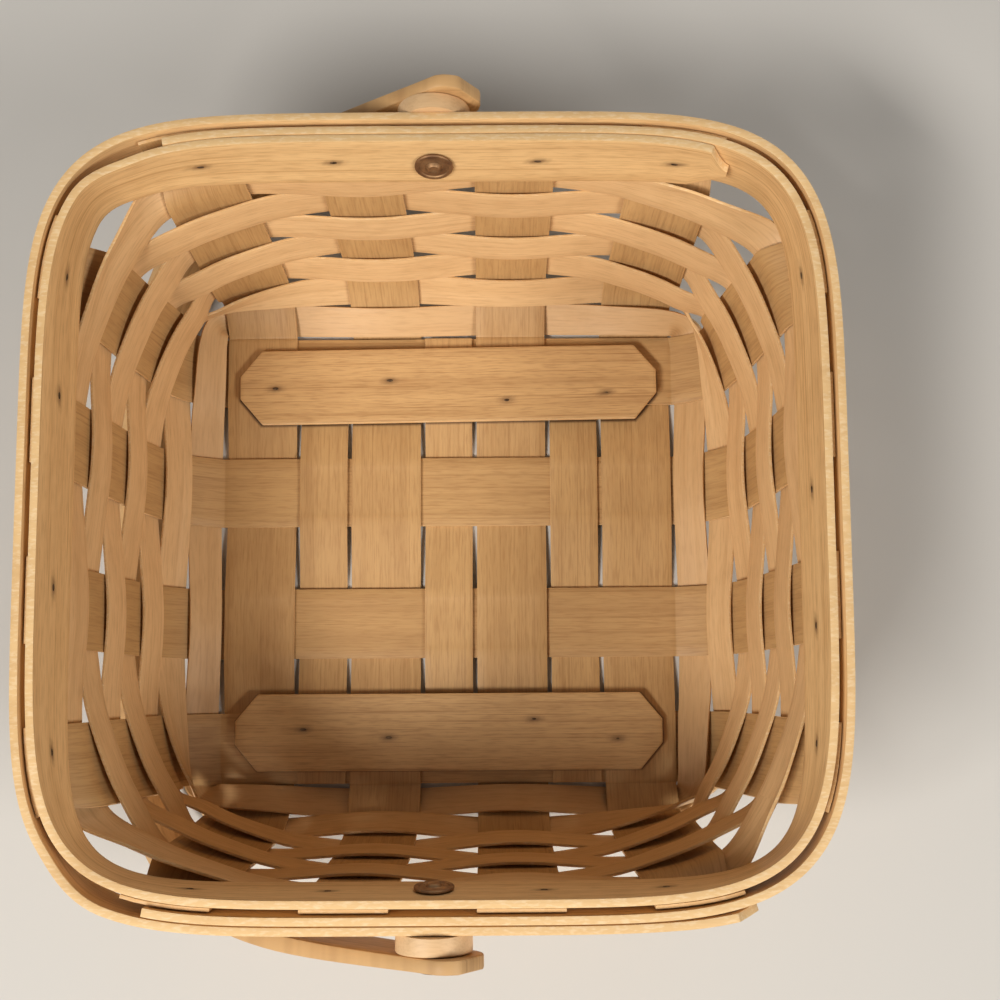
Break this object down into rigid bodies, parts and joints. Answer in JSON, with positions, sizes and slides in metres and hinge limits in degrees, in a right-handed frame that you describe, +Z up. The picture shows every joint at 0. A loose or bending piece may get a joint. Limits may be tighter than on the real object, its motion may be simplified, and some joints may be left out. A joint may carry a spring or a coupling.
{
  "type": "handled basket",
  "caption": "Square woven splint basket with a rounded banded rim, nailed base slats and a bentwood bail handle that swings on two rivets.",
  "frame": {"origin": "on the table under the middle of the base, where the plane of the base's lowest splint faces meets the basket's own centre lines", "axes": "+Z up, +Y to the far side (the top of the picture), +X to the right; the handle's pivot axis runs along Y"},
  "size_m": [0.3042, 0.3326, 0.1286],
  "materials": {
    "splint": "bare maple splint, matt",
    "weaver": "bare maple weaver, matt",
    "band": "bare bentwood band, sanded",
    "slat": "bare slat, sanded",
    "bushing": "turned wood, matt",
    "handle": "bare bentwood, sanded",
    "rivet": "dark antique",
    "tack": "darkened steel"
  },
  "bodies": {
    "basket": {"y_splint_1": "splint", "y_splint_2": "splint", "y_splint_3": "splint", "y_splint_4": "splint", "x_splint_1": "splint", "x_splint_2": "splint", "x_splint_3": "splint", "x_splint_4": "splint", "filler_splint_1": "splint", "filler_splint_2": "splint", "filler_splint_3": "splint", "weaver_row_1": "weaver", "weaver_row_2": "weaver", "weaver_row_3": "weaver", "weaver_row_4": "weaver", "weaver_row_5": "weaver", "weaver_row_6": "weaver", "weaver_row_7": "weaver", "inner_rim_band": "band", "outer_rim_band": "band", "rim_tack_right_1": "tack", "rim_tack_right_2": "tack", "rim_tack_right_3": "tack", "rim_tack_right_4": "tack", "rim_tack_far_1": "tack", "rim_tack_far_2": "tack", "rim_tack_far_3": "tack", "rim_tack_far_4": "tack", "rim_tack_left_1": "tack", "rim_tack_left_2": "tack", "rim_tack_left_3": "tack", "rim_tack_left_4": "tack", "rim_tack_near_1": "tack", "rim_tack_near_2": "tack", "rim_tack_near_3": "tack", "rim_tack_near_4": "tack", "slat_tack_far_1": "tack", "slat_tack_far_2": "tack", "slat_tack_far_3": "tack", "slat_tack_far_4": "tack", "slat_tack_near_1": "tack", "slat_tack_near_2": "tack", "slat_tack_near_3": "tack", "slat_tack_near_4": "tack", "base_slat_far": "slat", "base_slat_near": "slat", "bushing_far": "bushing", "bushing_near": "bushing", "rivet_far": "rivet", "rivet_near": "rivet"},
    "handle": {"handle": "handle"}
  },
  "joints": [
    {"name": "handle_swing", "type": "hinge", "parent": "basket", "child": "handle", "pos_m": [0, 0, 0.11147], "axis": [0, 1, 0], "range_deg": [0, 251.9]}
  ]
}
